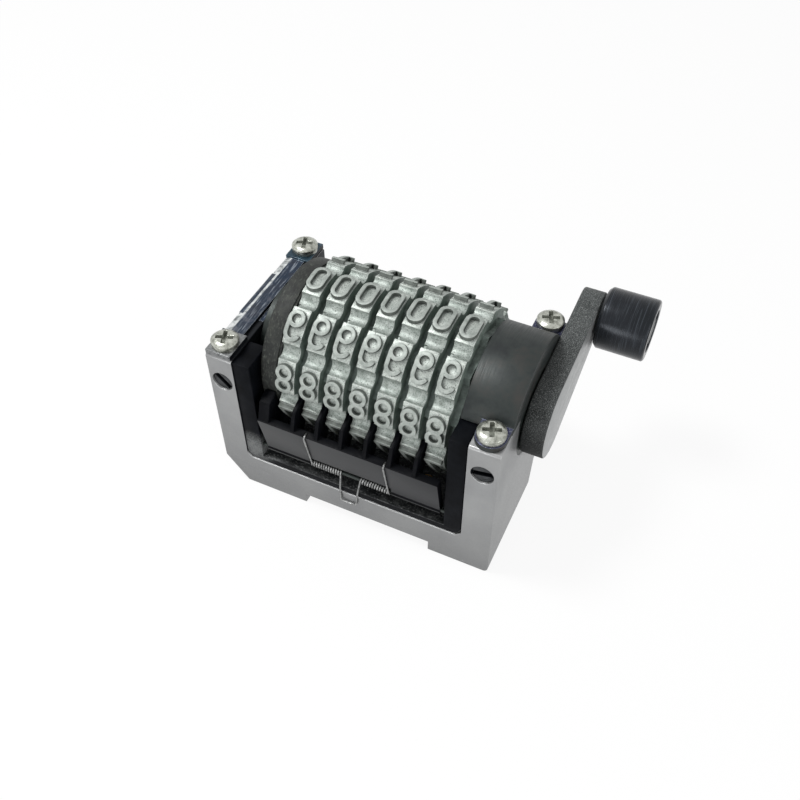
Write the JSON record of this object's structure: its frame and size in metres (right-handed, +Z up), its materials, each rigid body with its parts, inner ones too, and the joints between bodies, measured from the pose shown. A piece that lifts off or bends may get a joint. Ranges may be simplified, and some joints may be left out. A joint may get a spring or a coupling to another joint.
{
  "type": "rotary numbering machine",
  "caption": "Steel numbering head with a row of raised-digit wheels, an aligning comb and a lever with a cam roller, for a printing press's numbering shaft.",
  "frame": {"origin": "on the resting plane, under the middle of the part's bounding box", "axes": "+X along the wheels' shaft from the plain cheek to the lever, +Y from the comb at the front to the lever's roller at the back, +Z up to the type that prints"},
  "size_m": [0.0582, 0.0394, 0.0367],
  "materials": {
    "housing_steel": "ground and satin plated steel",
    "wheel_steel": "satin engraved steel",
    "ratchet_steel": "dark oiled steel",
    "drum_steel": "rough blackened steel",
    "blackened_steel": "black oxide",
    "blued_steel": "glossy blued steel, scratched",
    "lever_steel": "dark phosphated steel",
    "roller_steel": "black turned steel",
    "bright_steel": "turned steel",
    "bright_screw": "bright nickel",
    "spring_wire": "bright spring wire",
    "brass": "machined bronze"
  },
  "bodies": {
    "frame": {"frame_yoke": "housing_steel", "inner_cradle": "blackened_steel", "cradle_screws": "brass", "left_bearing_cap": "blued_steel", "right_bearing_cap": "blued_steel", "cap_screws": "bright_screw", "set_screws": "blackened_steel", "left_bush": "bright_steel", "right_bush": "bright_steel", "main_shaft": "bright_steel", "spacer_drum": "drum_steel", "comb_pivot_pin": "bright_steel", "comb_spring": "spring_wire", "return_spring": "spring_wire"},
    "lever": {"swing_lever": "lever_steel", "lever_screw": "blackened_steel", "drive_hub": "bright_steel", "right_drive_arm": "drum_steel", "left_drive_arm": "drum_steel", "pawl_shaft": "bright_steel", "pawl_spring": "spring_wire", "roller_washer": "bright_steel", "roller_pin": "bright_steel", "roller_clip": "bright_steel"},
    "pawl": {"drive_pawl": "bright_steel"},
    "roller": {"cam_roller": "roller_steel"},
    "comb": {"comb_bar": "blackened_steel"},
    "wheel_1": {"number_wheel_1": "wheel_steel", "ratchet_1": "ratchet_steel"},
    "wheel_2": {"number_wheel_2": "wheel_steel", "ratchet_2": "ratchet_steel"},
    "wheel_3": {"number_wheel_3": "wheel_steel", "ratchet_3": "ratchet_steel"},
    "wheel_4": {"number_wheel_4": "wheel_steel", "ratchet_4": "ratchet_steel"},
    "wheel_5": {"number_wheel_5": "wheel_steel", "ratchet_5": "ratchet_steel"},
    "wheel_6": {"number_wheel_6": "wheel_steel", "ratchet_6": "ratchet_steel"},
    "wheel_7": {"number_wheel_7": "wheel_steel", "ratchet_7": "ratchet_steel"}
  },
  "joints": [
    {"name": "lever_swing", "type": "hinge", "parent": "frame", "child": "lever", "pos_m": [-0.00415, -0.00382, 0.0232], "axis": [1, 0, 0], "range_deg": [-42, 0], "stiffness_Nm_per_rad": 0.02, "springref_deg": 20.05, "deforming": ["return_spring"]},
    {"name": "pawl_rock", "type": "hinge", "parent": "lever", "child": "pawl", "pos_m": [-0.00415, 0.01065, 0.01736], "axis": [1, 0, 0], "range_deg": [-12, 0], "stiffness_Nm_per_rad": 0.005, "springref_deg": 11.46, "deforming": ["pawl_spring"]},
    {"name": "roller_spin", "type": "hinge", "parent": "lever", "child": "roller", "pos_m": [0.02485, 0.01488, 0.02755], "axis": [1, 0, 0], "continuous": true},
    {"name": "comb_swing", "type": "hinge", "parent": "frame", "child": "comb", "pos_m": [-0.0059, -0.01732, 0.0103], "axis": [1, 0, 0], "range_deg": [0, 8], "stiffness_Nm_per_rad": 0.01, "springref_deg": -14.32, "deforming": ["comb_spring"]},
    {"name": "wheel_1_turn", "type": "hinge", "parent": "frame", "child": "wheel_1", "pos_m": [-0.017, -0.00382, 0.0232], "axis": [1, 0, 0], "continuous": true},
    {"name": "wheel_2_turn", "type": "hinge", "parent": "frame", "child": "wheel_2", "pos_m": [-0.013, -0.00382, 0.0232], "axis": [1, 0, 0], "continuous": true},
    {"name": "wheel_3_turn", "type": "hinge", "parent": "frame", "child": "wheel_3", "pos_m": [-0.009, -0.00382, 0.0232], "axis": [1, 0, 0], "continuous": true},
    {"name": "wheel_4_turn", "type": "hinge", "parent": "frame", "child": "wheel_4", "pos_m": [-0.005, -0.00382, 0.0232], "axis": [1, 0, 0], "continuous": true},
    {"name": "wheel_5_turn", "type": "hinge", "parent": "frame", "child": "wheel_5", "pos_m": [-0.001, -0.00382, 0.0232], "axis": [1, 0, 0], "continuous": true},
    {"name": "wheel_6_turn", "type": "hinge", "parent": "frame", "child": "wheel_6", "pos_m": [0.003, -0.00382, 0.0232], "axis": [1, 0, 0], "continuous": true},
    {"name": "wheel_7_turn", "type": "hinge", "parent": "frame", "child": "wheel_7", "pos_m": [0.007, -0.00382, 0.0232], "axis": [1, 0, 0], "continuous": true}
  ]
}
